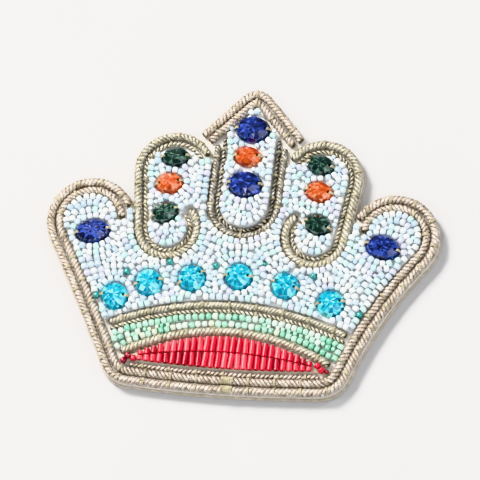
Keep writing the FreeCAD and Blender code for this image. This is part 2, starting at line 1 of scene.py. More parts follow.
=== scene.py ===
"""Sew-on crown motif: twisted metallic cords, pearl seed beads, red glass tubes and faceted stones,
all sewn over padded satin on a felt back. It lies face up on a pale table."""
import bmesh
import bpy
import math
import numpy as np
from mathutils import Matrix, Quaternion, Vector
from mathutils.kdtree import KDTree


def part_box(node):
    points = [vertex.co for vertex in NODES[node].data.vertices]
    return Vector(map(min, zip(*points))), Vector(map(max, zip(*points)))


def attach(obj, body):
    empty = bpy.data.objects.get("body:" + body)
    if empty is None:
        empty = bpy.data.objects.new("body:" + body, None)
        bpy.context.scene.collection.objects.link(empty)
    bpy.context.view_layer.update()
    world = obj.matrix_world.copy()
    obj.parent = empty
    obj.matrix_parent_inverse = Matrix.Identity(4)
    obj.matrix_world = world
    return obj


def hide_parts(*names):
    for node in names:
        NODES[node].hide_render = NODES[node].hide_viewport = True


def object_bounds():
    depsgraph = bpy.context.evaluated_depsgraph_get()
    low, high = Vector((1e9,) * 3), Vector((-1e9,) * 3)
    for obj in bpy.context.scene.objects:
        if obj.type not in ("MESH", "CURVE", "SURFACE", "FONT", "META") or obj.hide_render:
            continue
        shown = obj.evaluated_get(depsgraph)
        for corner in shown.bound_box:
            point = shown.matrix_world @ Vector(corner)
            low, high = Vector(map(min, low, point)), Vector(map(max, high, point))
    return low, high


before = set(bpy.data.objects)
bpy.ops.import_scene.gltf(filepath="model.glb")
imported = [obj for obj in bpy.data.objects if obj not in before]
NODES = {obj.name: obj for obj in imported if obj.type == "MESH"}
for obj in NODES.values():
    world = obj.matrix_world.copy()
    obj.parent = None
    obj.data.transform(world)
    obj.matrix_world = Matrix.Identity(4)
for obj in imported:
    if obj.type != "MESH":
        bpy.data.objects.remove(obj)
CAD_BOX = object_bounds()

MM = 0.001
TURN = 2 * math.pi
UP = np.array((0.0, 0.0, 1.0))
SHARE, FIRST, SECOND, MIXED = 0, 6, 7, 2    # the sockets of a Mix node when it mixes colours
WAVE = TURN / 20            # a wave texture of this scale repeats once in each unit of length


# ---------------------------------------------------------------- colour and material helpers
def linear(hex_colour):
    """An sRGB colour such as #c8bcae as the linear red, green, blue, alpha that shaders take."""
    parts = [int(hex_colour[place:place + 2], 16) / 255 for place in (1, 3, 5)]
    return [part / 12.92 if part <= 0.04045 else ((part + 0.055) / 1.055) ** 2.4 for part in parts] + [1.0]


def feed(tree, node, inputs):
    """Give each of a node's inputs its value, or link it to another node's output."""
    for place, value in inputs.items():
        if isinstance(value, bpy.types.NodeSocket):
            tree.links.new(value, node.inputs[place])
        else:
            node.inputs[place].default_value = value


def add(tree, kind, inputs=(), **settings):
    """One node: its settings by name, and each input a value or another node's output."""
    node = tree.nodes.new("ShaderNode" + kind)
    for name, value in settings.items():
        setattr(node, name, value)
    feed(tree, node, dict(inputs))
    return node


def start_material(name):
    """A new material, its node tree, its shader and its coordinate outputs."""
    material = bpy.data.materials.new(name)
    material.use_nodes = True
    tree = material.node_tree
    shader = tree.nodes["Principled BSDF"]
    place = add(tree, "TexCoord").outputs
    return material, tree, shader, place


def mottle(tree, vector, colours, grain, detail=3.0, low=0.3, high=0.7):
    """A colour that wanders between two hex colours in patches of a given size."""
    noise = add(tree, "TexNoise", {"Vector": vector, "Scale": 1 / grain, "Detail": detail})
    ramp = add(tree, "ValToRGB", {"Fac": noise.outputs["Fac"]})
    ramp.color_ramp.elements[0].position = low
    ramp.color_ramp.elements[1].position = high
    ramp.color_ramp.elements[0].color = linear(colours[0])
    ramp.color_ramp.elements[1].color = linear(colours[1])
    return ramp.outputs["Color"]


# ---------------------------------------------------------------- materials
def metallised_twist_cord(name, crest, valley, groove_shade):
    """Cord of metallised polyester gimp, laid in plies: soft metal gleam on each ply's crest, painted
    glints and dark flecks along it, dull where fibre shows, and painted shade in the grooves between plies."""
    material, tree, shader, place = start_material(name)
    colour = mottle(tree, place["Object"], (valley, crest), 2.2 * MM)
    # painted glints, near white, and dark flecks in the shade colour of the grooves, each about 0.75 mm
    # long
    flecks = add(tree, "TexVoronoi", {"Vector": place["Object"], "Scale": 1 / (0.75 * MM)})
    lots = add(tree, "SeparateColor", {0: flecks.outputs["Color"]})
    for lot, fleck in ((0, "#fffaf2"), (1, groove_shade)):
        strength = {"Value": lots.outputs[lot], "From Min": 0.66, "From Max": 0.94, "To Max": 0.6}
        share = add(tree, "MapRange", strength).outputs["Result"]
        mix = add(tree, "Mix", {SHARE: share, FIRST: colour, SECOND: linear(fleck)}, data_type="RGBA")
        colour = mix.outputs[MIXED]
    # painted shade: the colour darkens to the shade colour of the grooves towards the cord's middle line,
    # where the plies meet
    depth = add(tree, "Attribute", attribute_name="groove_shade").outputs["Fac"]
    share = add(tree, "MapRange", {"Value": depth, "From Min": 0.62, "From Max": 0.94}).outputs["Result"]
    shaded = add(tree, "Mix", {SHARE: share, FIRST: linear(groove_shade), SECOND: colour}, data_type="RGBA")
    # the metal strip is wound about the ply every 0.25 mm, drawn at 0.45 mm so that it shows
    wind = 0.45 * MM
    slanted = add(tree, "Mapping", {"Vector": place["UV"], "Rotation": (0, 0, math.radians(12))})
    wave = add(tree, "TexWave", {"Vector": slanted.outputs["Vector"], "Scale": WAVE / wind},
               bands_direction="Y")
    strips = add(tree, "Mix", {SHARE: 0.22, FIRST: shaded.outputs[MIXED], SECOND: wave.outputs["Color"]},
                 data_type="RGBA", blend_type="MULTIPLY")
    bump = add(tree, "Bump", {"Height": wave.outputs["Fac"], "Strength": 0.45, "Distance": 0.05 * MM})
    rough = add(tree, "TexNoise", {"Vector": place["Object"], "Scale": 1 / (0.6 * MM), "Detail": 2.0})
    dull = add(tree, "MapRange", {"Value": rough.outputs["Fac"], "To Min": 0.22, "To Max": 0.55})
    feed(tree, shader, {
        "Base Color": strips.outputs[MIXED],
        "Metallic": 0.6,
        "Roughness": dull.outputs["Result"],
        "Normal": bump.outputs["Normal"],
    })
    return material


def lustre_glass_beads(name, roughness, coat):
    """Moulded glass seed beads with a fired lustre: each bead has its own pale tint, a wet
    highlight, a thin mirror-like skin and a slightly cloudy body."""
    material, tree, shader, place = start_material(name)
    tint = add(tree, "Attribute", attribute_name="tint").outputs["Color"]
    cloud = mottle(tree, place["Object"], ("#eef2f5", "#ffffff"), 0.5 * MM)
    body = add(tree, "Mix", {SHARE: 1.0, FIRST: tint, SECOND: cloud},
               data_type="RGBA", blend_type="MULTIPLY")
    noise = add(tree, "TexNoise", {"Vector": place["Object"], "Scale": 1 / (2.5 * MM)})
    skin = add(tree, "MapRange", {"Value": noise.outputs["Fac"], "To Min": 0.1, "To Max": 0.4})
    feed(tree, shader, {
        "Base Color": body.outputs[MIXED],
        "Metallic": skin.outputs["Result"],
        "Roughness": roughness,
        "Coat Weight": coat,
        "Coat Roughness": 0.06,
        "Subsurface Weight": 0.15,
        "Subsurface Radius": (0.4 * MM, 0.4 * MM, 0.4 * MM),
    })
    return material


def silver_lined_red_glass():
    """Drawn glass tubes with a mirrored bore: a deep red with the lining's bright reflection painted in as
    streaks along each tube, and a hard gloss."""
    material, tree, shader, place = start_material("silver_lined_red_glass_tubes")
    tint = add(tree, "Attribute", attribute_name="tint").outputs["Color"]
    # painted reflection: streaks along each tube, bright where the silver lining's reflection is painted,
    # darker red between them
    streaks = add(tree, "Mapping", {"Vector": place["Object"], "Scale": (1, 0.15, 1)})
    painted_lining_flare = mottle(tree, streaks.outputs["Vector"], ("#c0405a", "#ffffff"), 0.5 * MM)
    body = add(tree, "Mix", {SHARE: 0.55, FIRST: tint, SECOND: painted_lining_flare},
               data_type="RGBA", blend_type="MULTIPLY")
    feed(tree, shader, {
        "Base Color": body.outputs[MIXED],
        "Metallic": 0.25,
        "Roughness": 0.16,
        "Coat Weight": 0.8,
        "Coat Roughness": 0.04,
    })
    return material


def foiled_cut_stone(name, dark, middle, bright):
    """Pressed acrylic stone with a foil back: every facet sends back its own share of the foil, so
    deep and bright facets lie side by side under a polished surface."""
    material, tree, shader, place = start_material(name)
    sparkle = add(tree, "Attribute", attribute_name="sparkle").outputs["Fac"]
    ramp = add(tree, "ValToRGB", {"Fac": sparkle})
    ramp.color_ramp.elements[0].color = linear(dark)
    ramp.color_ramp.elements[1].color = linear(bright)
    ramp.color_ramp.elements.new(0.55).color = linear(middle)
    haze = add(tree, "TexNoise", {"Vector": place["Object"], "Scale": 1 / (1.5 * MM), "Detail": 2.0})
    polish = add(tree, "MapRange", {"Value": haze.outputs["Fac"], "To Min": 0.08, "To Max": 0.2})
    feed(tree, shader, {
        "Base Color": ramp.outputs["Color"],
        "Metallic": 0.35,
        "Roughness": polish.outputs["Result"],
        "Coat Weight": 1.0,
        "Coat Roughness": 0.03,
    })
    return material


def spun_sewing_thread():
    """Doubled polyester sewing thread: matt, with the fine slant of its two plies."""
    material, tree, shader, place = start_material("spun_polyester_thread")
    colour = mottle(tree, place["Object"], ("#8d8468", "#c9bf9f"), 1.2 * MM)
    slanted = add(tree, "Mapping", {"Vector": place["UV"], "Rotation": (0, 0, math.radians(35))})
    wave = add(tree, "TexWave", {"Vector": slanted.outputs["Vector"], "Scale": WAVE / (0.3 * MM)})
    bump = add(tree, "Bump", {"Height": wave.outputs["Fac"], "Strength": 0.4, "Distance": 0.03 * MM})
    feed(tree, shader, {
        "Base Color": colour,
        "Roughness": 0.7,
        "Sheen Weight": 0.3,
        "Normal": bump.outputs["Normal"],
    })
    return material


def pressed_felt(name, dark, light):
    """Needled polyester felt: short fibres lying every way, with a soft nap and no gloss."""
    material, tree, shader, place = start_material(name)
    colour = mottle(tree, place["Object"], (dark, light), 1.6 * MM, detail=6.0)
    fibres = add(tree, "Mapping", {"Vector": place["Object"], "Scale": (1, 5, 1), "Rotation": (0, 0, 0.6)})
    tangle = {"Vector": fibres.outputs["Vector"], "Scale": 1 / (1.1 * MM), "Detail": 5.0, "Distortion": 1.5}
    strands = add(tree, "TexNoise", tangle)
    bump = add(tree, "Bump", {"Height": strands.outputs["Fac"], "Strength": 0.6, "Distance": 0.25 * MM})
    shaded = add(tree, "Mix", {SHARE: 0.35, FIRST: colour, SECOND: strands.outputs["Color"]},
                 data_type="RGBA", blend_type="OVERLAY")
    feed(tree, shader, {
        "Base Color": shaded.outputs[MIXED],
        "Roughness": 0.95,
        "Sheen Weight": 0.5,
        "Sheen Roughness": 0.6,
        "Normal": bump.outputs["Normal"],
    })
    return material


def woven_cloth(name, dark, light, pitch, roughness, sheen):
    """Woven cloth seen by its threads: two waves at right angles, one over the other."""
    material, tree, shader, place = start_material(name)
    turned = add(tree, "Mapping", {"Vector": place["Object"], "Rotation": (0, 0, math.radians(45))})
    scale = WAVE / pitch
    warp = add(tree, "TexWave", {"Vector": turned.outputs["Vector"], "Scale": scale}, bands_direction="X")
    weft = add(tree, "TexWave", {"Vector": turned.outputs["Vector"], "Scale": scale}, bands_direction="Y")
    threads = add(tree, "Math", {0: warp.outputs["Fac"], 1: weft.outputs["Fac"]}, operation="MAXIMUM")
    bump = add(tree, "Bump", {"Height": threads.outputs["Value"], "Strength": 0.4, "Distance": 0.08 * MM})
    colour = mottle(tree, place["Object"], (dark, light), 3 * MM)
    lit = add(tree, "Mix", {SHARE: 0.25, FIRST: colour, SECOND: warp.outputs["Color"]},
              data_type="RGBA", blend_type="MULTIPLY")
    feed(tree, shader, {
        "Base Color": lit.outputs[MIXED],
        "Roughness": roughness,
        "Sheen Weight": sheen,
        "Normal": bump.outputs["Normal"],
    })
    return material


def table_top():
    """Matt painted board: pale, even, with the faintest roller texture."""
    material, tree, shader, place = start_material("matt_painted_board")
    colour = mottle(tree, place["Object"], ("#b9b8b8", "#bfbebe"), 60 * MM)
    feed(tree, shader, {"Base Color": colour, "Roughness": 0.75})
    return material


CHAMPAGNE = metallised_twist_cord("metallised_twist_cord_champagne", "#dacdbf", "#b0a292", "#6a5d48")
OLIVE = metallised_twist_cord("metallised_twist_cord_olive", "#cdc6b4", "#a49d88", "#656049")
BRONZE = metallised_twist_cord("metallised_twist_cord_bronze", "#a39d90", "#7d776a", "#433e34")
PEARL = lustre_glass_beads("pearl_lustre_glass_beads", 0.18, 1.0)
MINT = lustre_glass_beads("mint_lustre_glass_beads", 0.15, 1.0)
RED_GLASS = silver_lined_red_glass()
BLUE_STONE = foiled_cut_stone("foiled_stone_sapphire", "#060c2e", "#182b72", "#4a62c2")
GREEN_STONE = foiled_cut_stone("foiled_stone_emerald", "#05130f", "#153229", "#587f70")
ORANGE_STONE = foiled_cut_stone("foiled_stone_topaz", "#9c3410", "#d25c24", "#f0a06e")
TURQUOISE_STONE = foiled_cut_stone("foiled_stone_turquoise", "#056d8d", "#17bdd5", "#a6faf5")
THREAD = spun_sewing_thread()
BACK_FELT = pressed_felt("needled_felt_backing", "#9d907c", "#c4b8a3")
PAD_FELT = pressed_felt("needled_felt_padding_white", "#c9cdd2", "#eceef0")
LENS_FELT = pressed_felt("needled_felt_padding_beige", "#a89a86", "#c6baa6")
BUCKRAM = woven_cloth("sized_cotton_buckram", "#cfc8b6", "#e6e0d0", 0.6 * MM, 0.85, 0.1)
SATIN = woven_cloth("satin_face_cloth", "#d6d0c6", "#efeae2", 0.35 * MM, 0.42, 0.3)
TABLE = table_top()


# ---------------------------------------------------------------- reading the frame
WELD = 0.002 * MM           # points of a node nearer than this are one point
LEVEL = 0.01 * MM           # how far under a flat top a point may lie and still be on it
FACING = 0.9                # a face looks up, or along an axis, if its normal has more than this of it


def merged(node):
    """A node's mesh as one welded bmesh; the caller frees it."""
    mesh = bmesh.new()
    mesh.from_mesh(NODES[node].data)
    bmesh.ops.remove_doubles(mesh, verts=mesh.verts, dist=WELD)
    return mesh


def chain(links):
    """Runs of points from a dictionary that leads from each point to the next."""
    starts = [point for point in links if point not in set(links.values())]
    runs = []
    while links:
        point = starts.pop() if starts else next(iter(links))
        run = [point]
        while point in links:
            point = links.pop(point)
            run.append(point)
        runs.append(run)
    return runs


def rim_loops(node):
    """Closed outlines of a node's upper face, each with the solid on its left."""
    mesh = merged(node)
    top = max(vert.co.z for vert in mesh.verts) - LEVEL
    links = {}
    for face in mesh.faces:
        if face.normal.z < FACING or min(vert.co.z for vert in face.verts) < top:
            continue
        for corner in face.loops:
            other = corner.link_loop_radial_next.face
            if other.normal.z < FACING:
                links[corner.vert.index] = corner.link_loop_next.vert.index
    mesh.verts.ensure_lookup_table()
    loops = [np.array([mesh.verts[index].co.xy for index in run[:-1]]) for run in chain(links)]
    mesh.free()
    return loops


def ridge_line(node):
    """The line along the top of a cord's solid, from end to end."""
    mesh = merged(node)
    top = max(vert.co.z for vert in mesh.verts) - WELD
    beside = {}
    for edge in mesh.edges:
        first, second = edge.verts
        if first.co.z > top and second.co.z > top:
            beside.setdefault(first.index, []).append(second.index)
            beside.setdefault(second.index, []).append(first.index)
    mesh.verts.ensure_lookup_table()
    ends = [index for index in beside if len(beside[index]) == 1]
    here = min(ends, key=lambda index: mesh.verts[index].co.x)
    run = [here]
    before = None
    while True:
        ahead = [index for index in beside[here] if index != before]
        if not ahead:
            break
        before, here = here, ahead[0]
        run.append(here)
    line = np.array([mesh.verts[index].co[:] for index in run])
    mesh.free()
    return line


def islands(node):
    """The separate solids of a node, each as the array of its points."""
    mesh = merged(node)
    waiting = set(mesh.verts)
    found = []
    while waiting:
        frontier = [waiting.pop()]
        island = []
        while frontier:
            vert = frontier.pop()
            island.append(vert.co[:])
            for edge in vert.link_edges:
                other = edge.other_vert(vert)
                if other in waiting:
                    waiting.remove(other)
                    frontier.append(other)
        found.append(np.array(island))
    mesh.free()
    return sorted(found, key=lambda points: tuple(points.mean(0)))


def long_axis(points):
    """Middle of a set of points seen from above, and the unit direction in which they reach furthest."""
    middle = (points[:, :2].max(0) + points[:, :2].min(0)) / 2
    _, directions = np.linalg.eigh(np.cov((points[:, :2] - points[:, :2].mean(0)).T))
    axis = directions[:, 1] * (1 if directions[0, 1] > 0 else -1)
    return middle, axis


# ---------------------------------------------------------------- making meshes
EASING = 4                  # rounds of smoothing that ease a line's corners
UV_ROUND = 2 * MM           # how much of a strand's UV map one turn round it takes


def in_scene(name, data):
    """A new object of the scene, from its mesh, light or camera data."""
    thing = bpy.data.objects.new(name, data)
    bpy.context.scene.collection.objects.link(thing)
    return thing


def piece_from(name, points, faces, material):
    """A piece made of points and faces, riding on the crown."""
    mesh = bpy.data.meshes.new(name)
    mesh.from_pydata(points.tolist(), [], faces)
    mesh.materials.append(material)
    return finished(in_scene(name, mesh))


def finished(piece):
    """The piece rides on the crown."""
    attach(piece, "root")
    return piece


def smooth_all(piece):
    """Shade every face of a piece smooth."""
    piece.data.polygons.foreach_set("use_smooth", [True] * len(piece.data.polygons))


def only(thing):
    """Make one object the only selected and active one, in object mode."""
    if bpy.context.mode != "OBJECT":
        bpy.ops.object.mode_set(mode="OBJECT")
    bpy.ops.object.select_all(action="DESELECT")
    thing.select_set(True)
    bpy.context.view_layer.objects.active = thing


def pick_faces(thing, test):
    """In edit mode, select just the faces whose middle and normal pass a test."""
    bpy.ops.mesh.select_mode(type="FACE")
    bpy.ops.mesh.select_all(action="DESELECT")
    mesh = bmesh.from_edit_mesh(thing.data)
    for face in mesh.faces:
        face.select_set(test(face.calc_center_median(), face.normal))
    bmesh.update_edit_mesh(thing.data)


def taken(thing):
    """Points and faces of a modelled pattern piece, which is then removed."""
    bpy.ops.object.mode_set(mode="OBJECT")
    bpy.ops.object.transform_apply(location=True, rotation=True, scale=True)
    points = np.array([vert.co[:] for vert in thing.data.vertices])
    faces = [list(polygon.vertices) for polygon in thing.data.polygons]
    bpy.data.objects.remove(thing)
    return points, faces


def copies(name, pattern, places, material, tints):
    """One piece holding a tinted copy of the pattern at each place, given as a matrix and an offset."""
    piece = tinted_lot(name, pattern, [pattern[0] @ matrix.T + offset for matrix, offset in places],
                       material, tints)
    smooth_all(piece)
    return piece


def tinted_lot(name, pattern, lot, material, tints):
    """One piece of many bodies with the pattern's faces, each given as its points, and each with its
    own tint, which the glass materials read."""
    points, faces = pattern
    bases = [number * len(points) for number in range(len(lot))]
    sides = [[corner + base for corner in face] for base in bases for face in faces]
    piece = piece_from(name, np.concatenate(lot), sides, material)
    colours = np.repeat(tints, len(points), axis=0)
    attribute = piece.data.color_attributes.new("tint", "FLOAT_COLOR", "POINT")
    attribute.data.foreach_set("color", colours.astype(np.float32).ravel())
    return piece


def unit(vectors):
    """The same directions, each one unit long."""
    return vectors / np.maximum(np.linalg.norm(vectors, axis=1), 1e-9)[:, None]


def distances(line):
    """How far along a line each of its points lies."""
    return np.concatenate([[0], np.cumsum(np.linalg.norm(np.diff(line, axis=0), axis=1))])


def even_line(line, step):
    """The same line with its points an even step apart, its corners eased."""
    along = distances(line)
    count = max(4, round(along[-1] / step))
    stations = np.linspace(0, along[-1], count + 1)
    line = np.stack([np.interp(stations, along, line[:, axis]) for axis in range(3)], axis=1)
    for _ in range(EASING):
        line[1:-1] = (line[:-2] + 2 * line[1:-1] + line[2:]) / 4
    return line, stations


def sweep(centres, outward, radius, sides):
    """Points and faces of a closed tube; outward is square to the tube at each centre."""
    ahead = unit(np.gradient(centres, axis=0))
    beside = unit(np.cross(ahead, outward))
    out = np.cross(beside, ahead)
    angles = np.arange(sides) * TURN / sides
    reach = np.broadcast_to(radius, len(centres))[:, None, None]
    rings = centres[:, None] + reach * (
        out[:, None] * np.cos(angles)[None, :, None] + beside[:, None] * np.sin(angles)[None, :, None]
    )
    count = len(centres)
    ring, spot = np.meshgrid(np.arange(count - 1), np.arange(sides), indexing="ij")
    after = (spot + 1) % sides
    quads = np.stack([ring * sides + spot, ring * sides + after,
                      (ring + 1) * sides + after, (ring + 1) * sides + spot], axis=-1).reshape(-1, 4)
    caps = [list(range(sides))[::-1], [(count - 1) * sides + spot for spot in range(sides)]]
    return rings.reshape(-1, 3), quads.tolist() + caps


def tubes_piece(name, tubes, sides, material):
    """One piece of several swept tubes, with a UV map of length along and turn round each."""
    points, faces, lengths = [], [], []
    base = 0
    for centres, outward, radius in tubes:
        tube_points, tube_faces = sweep(centres, outward, radius, sides)
        points.append(tube_points)
        faces += [[corner + base for corner in face] for face in tube_faces]
        lengths.append(np.repeat(distances(centres), sides))
        base += len(tube_points)
    piece = piece_from(name, np.concatenate(points), faces, material)
    smooth_all(piece)
    lengths = np.concatenate(lengths)
    corners = np.zeros(len(piece.data.loops), np.int64)
    piece.data.loops.foreach_get("vertex_index", corners)
    spots = corners % sides
    # the face that closes each ring has its last corners a whole turn on
    ring_share = spots / sides
    starts = np.zeros(len(piece.data.polygons), np.int64)
    piece.data.polygons.foreach_get("loop_start", starts)
    for start in starts:
        if spots[start] == sides - 1 and spots[start + 1] == 0:
            ring_share[start + 1] = ring_share[start + 2] = 1.0
    uv_map = piece.data.uv_layers.new(name="strand")
    uv_map.data.foreach_set("uv", np.stack([ring_share * UV_ROUND, lengths[corners]], axis=1).ravel())
    return piece


# ---------------------------------------------------------------- cords
CORD_FLAT = 0.15 * MM       # how deep each cord beds into the cloth
THIN_CORD = 0.8 * MM        # cords under this radius are laid in two plies, thicker ones in three
PLY_SHARE = {2: 0.56, 3: 0.47}      # ply radius, as a part of the cord's
LAY_PITCH = {2: 1.75, 3: 1.45}      # length of one turn of the plies, in cord diameters
PLY_SIDES = 7
LAY_STEPS = 10              # rings of each ply in one turn
END_TAPER = 0.8             # how much of a cord's section draws in towards each cut end
TAPER_LENGTH = 0.8          # and over what length, in cord radii


def twisted_cord(node, material, hand):
    """Two or three plies laid round each other along the middle line of a cord's solid."""
    low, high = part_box(node)
    radius = (high.z - low.z + CORD_FLAT) / 2
    ridge = ridge_line(node)
    ridge[:, 2] -= radius
    plies = 2 if radius < THIN_CORD else 3
    share, pitch = PLY_SHARE[plies], LAY_PITCH[plies] * 2 * radius
    line, stations = even_line(ridge, pitch / LAY_STEPS)
    beside = np.cross(unit(np.gradient(line, axis=0)), UP)
    to_end = np.minimum(stations, stations[-1] - stations)
    rounding = np.sqrt(1 - END_TAPER * (1 - np.clip(to_end / (TAPER_LENGTH * radius), 0, 1)) ** 2)
    tubes = []
    for ply in range(plies):
        turn = hand * TURN * stations / pitch + TURN * ply / plies
        outward = beside * np.cos(turn)[:, None] + UP * np.sin(turn)[:, None]
        centres = line + outward * (radius * (1 - share) * rounding)[:, None]
        tubes.append((centres, outward, radius * share * rounding))
    piece = tubes_piece(f"{node}_twist", tubes, PLY_SIDES, material)
    # how far each point stands from the cord's middle line, which the cord material uses to paint shade
    # into the grooves between plies
    middle = np.repeat(line, PLY_SIDES, axis=0)
    places = np.zeros(len(piece.data.vertices) * 3, np.float32)
    piece.data.vertices.foreach_get("co", places)
    depth = np.linalg.norm(places.reshape(-1, 3) - np.tile(middle, (plies, 1)), axis=1) / radius
    grooves = piece.data.attributes.new("groove_shade", "FLOAT", "POINT")
    grooves.data.foreach_set("value", depth.astype(np.float32))
    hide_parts(node)


CORDS = {
    "border_cord_outer": (CHAMPAGNE, "champagne_cord", 1),
    "border_cord_inner": (CHAMPAGNE, "champagne_cord", -1),
    "roof_cord_outer": (CHAMPAGNE, "champagne_cord", 1),
    "roof_cord_inner": (CHAMPAGNE, "champagne_cord", -1),
    "foot_cord": (CHAMPAGNE, "champagne_cord", 1),
    "left_lobe_cord_outer": (OLIVE, "olive_cord", -1),
    "right_lobe_cord_outer": (OLIVE, "olive_cord", 1),
    "left_lobe_cord_inner": (OLIVE, "olive_cord", 1),
    "right_lobe_cord_inner": (OLIVE, "olive_cord", -1),
    "band_cord_upper": (OLIVE, "olive_cord", 1),
    "band_cord_lower": (OLIVE, "olive_cord", -1),
    "rail_cord": (OLIVE, "olive_cord", 1),
    "panel_cord_outer": (BRONZE, "bronze_cord", 1),
    "panel_cord_inner": (BRONZE, "bronze_cord", -1),
}
for cord_node, (cord_material, cord_slot, cord_hand) in CORDS.items():
    twisted_cord(cord_node, cord_material, cord_hand)


# ---------------------------------------------------------------- stitches over the cords
THREAD_RADIUS = 0.13 * MM
THREAD_SIDES = 5
THREAD_SINK = 1.3           # how deep a stitch pulls into the top of its cord, in thread radii
THREAD_APART = 1.15         # from a stitch's middle to each of its threads, in thread radii
STITCH_REACH = 72           # degrees that a stitch comes down each side of its cord
STITCH_STEPS = 9
TUCK = 0.16                 # how much of its reach a stitch loses as it goes under


def stitch_threads(points, cloth_top):
    """The two threads of one couching stitch, arched over its cord and tucked in at both sides."""
    middle, across = long_axis(points)
    top = points[:, 2].max()
    radius = (top - cloth_top + CORD_FLAT) / 2
    axis_height = cloth_top - CORD_FLAT + radius
    ahead = np.array((-across[1], across[0], 0))
    angles = np.radians(np.linspace(-STITCH_REACH, STITCH_REACH, STITCH_STEPS))
    outward = np.outer(np.sin(angles), np.append(across, 0)) + np.outer(np.cos(angles), UP)
    tuck = 1 - TUCK * (np.abs(angles) / angles[-1]) ** 4
    reach = (radius - THREAD_SINK * THREAD_RADIUS) * tuck
    threads = []
    for side in (-1, 1):
        centre = np.append(middle, axis_height) + ahead * side * THREAD_RADIUS * THREAD_APART
        threads.append((centre + outward * reach[:, None], outward, THREAD_RADIUS))
    return threads


def sewn_stitches(node):
    """All the stitches of a node as doubled thread."""
    cloth_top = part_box("face_cloth")[1].z
    threads = [thread for points in islands(node) for thread in stitch_threads(points, cloth_top)]
    piece = tubes_piece(f"{node}_thread", threads, THREAD_SIDES, THREAD)
    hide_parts(node)


sewn_stitches("couching_stitches")
sewn_stitches("join_stitches")


# ---------------------------------------------------------------- felt, buckram, cloth and padding
RIM_STEP = 0.8 * MM         # between the points of a cut edge
SMOOTH_UNDER = math.radians(40)     # edges that turn less than this are shaded smooth
PAD_RIM = 0.6               # the part of a pad's thickness that rounds over at its edge


def outward_normals(loop):
    """Unit normals at each point of a loop, pointing away from the solid on its left."""
    ahead = unit(np.roll(loop, -1, axis=0) - np.roll(loop, 1, axis=0))
    return np.stack([ahead[:, 1], -ahead[:, 0]], axis=1)


def layer(node, profile, material, waver, seed):
    """A flat layer cut to a node's outline. The profile gives the insets and heights of its rim from
    the underside up, and waver is how far the cut edge wanders."""
    rng = np.random.default_rng(seed)
    mesh = bmesh.new()
    ends = ([], [])
    for loop in rim_loops(node):
        closed = np.vstack([loop, loop[:1]])
        along = distances(closed)
        count = max(12, round(along[-1] / RIM_STEP))
        stations = np.linspace(0, along[-1], count, endpoint=False)
        even = np.stack([np.interp(stations, along, closed[:, axis]) for axis in (0, 1)], axis=1)
        normals = outward_normals(even)
        # a running mean of five random steps, taken round the loop three times so that its ends meet
        thrice = np.tile(rng.normal(0, 1, count), 3)
        wander = np.convolve(thrice, np.ones(5) / 5, "same")[count:2 * count] * waver
        rings = []
        for inset, height in profile:
            ring = even + normals * (wander - waver - inset)[:, None]
            rings.append([mesh.verts.new((*spot, height)) for spot in ring])
        for lower, upper in zip(rings, rings[1:]):
            for spot in range(count):
                after = (spot + 1) % count
                mesh.faces.new((lower[spot], lower[after], upper[after], upper[spot]))
        for end, ring in zip(ends, (rings[0], rings[-1])):
            end += [mesh.edges.get((ring[spot], ring[(spot + 1) % count])) for spot in range(count)]
    for end in ends:
        bmesh.ops.triangle_fill(mesh, edges=end, use_beauty=True, use_dissolve=False)
    bmesh.ops.recalc_face_normals(mesh, faces=mesh.faces)
    data = bpy.data.meshes.new(f"{node}_cut")
    mesh.to_mesh(data)
    mesh.free()
    data.materials.append(material)
    piece = in_scene(f"{node}_cut", data)
    only(piece)
    bpy.ops.object.shade_smooth_by_angle(angle=SMOOTH_UNDER)
    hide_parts(node)
    return finished(piece)


def flat_area(node):
    """Area of a layer's cut shape and the sides of the rectangle it is cut from."""
    area = 0
    for loop in rim_loops(node):
        after = np.roll(loop, -1, axis=0)
        area += (loop[:, 0] * after[:, 1] - loop[:, 1] * after[:, 0]).sum() / 2
    low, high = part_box(node)
    return float(area), (high.x - low.x, high.y - low.y)


def rounded_rim(node, bulge, steps):
    """A rim profile that rounds a layer's edge from its underside to its top. Bulge is how far the top
    and the underside stay in from the edge's middle."""
    low, high = (corner.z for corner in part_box(node))
    angles = np.linspace(-math.pi / 2, math.pi / 2, steps)
    middle, half = (low + high) / 2, (high - low) / 2
    return [(bulge * (1 - math.cos(angle)), middle + half * math.sin(angle)) for angle in angles]


def crowned_rim(node, crown, steps):
    """A rim profile that rises straight from the underside and then rounds over to the top. Crown is
    how far the top stays in from the edge."""
    low, high = (corner.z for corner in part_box(node))
    angles = np.linspace(0, math.pi / 2, steps)
    rise = (high - low) * PAD_RIM
    over = [(crown * (1 - math.cos(angle)), high - rise + rise * math.sin(angle)) for angle in angles]
    return [(0.0, low)] + over


def cloth_layers():
    """The felt back, the buckram that stiffens it, and the satin that faces it."""
    rim = rounded_rim("backing_felt", bulge=0.45 * MM, steps=6)
    felt = layer("backing_felt", rim, BACK_FELT, waver=0.12 * MM, seed=1)
    area, cut = flat_area("backing_felt")
    rim = rounded_rim("stiffening_buckram", bulge=0.1 * MM, steps=3)
    buckram = layer("stiffening_buckram", rim, BUCKRAM, waver=0.05 * MM, seed=2)
    area, cut = flat_area("stiffening_buckram")
    rim = rounded_rim("face_cloth", bulge=0.15 * MM, steps=4)
    satin = layer("face_cloth", rim, SATIN, waver=0.05 * MM, seed=3)
    area, cut = flat_area("face_cloth")


def paddings():
    """The felt pads under the beads, rounded over at their edges."""
    pads = (
        ("field_padding", 0.7 * MM, PAD_FELT),
        ("panel_padding", 1.0 * MM, PAD_FELT),
        ("lens_padding", 0.7 * MM, LENS_FELT),
    )
    for seed, (node, crown, felt) in enumerate(pads, start=4):
        rim = crowned_rim(node, crown, steps=4)
        pad = layer(node, rim, felt, waver=0.08 * MM, seed=seed)


cloth_layers()
paddings()


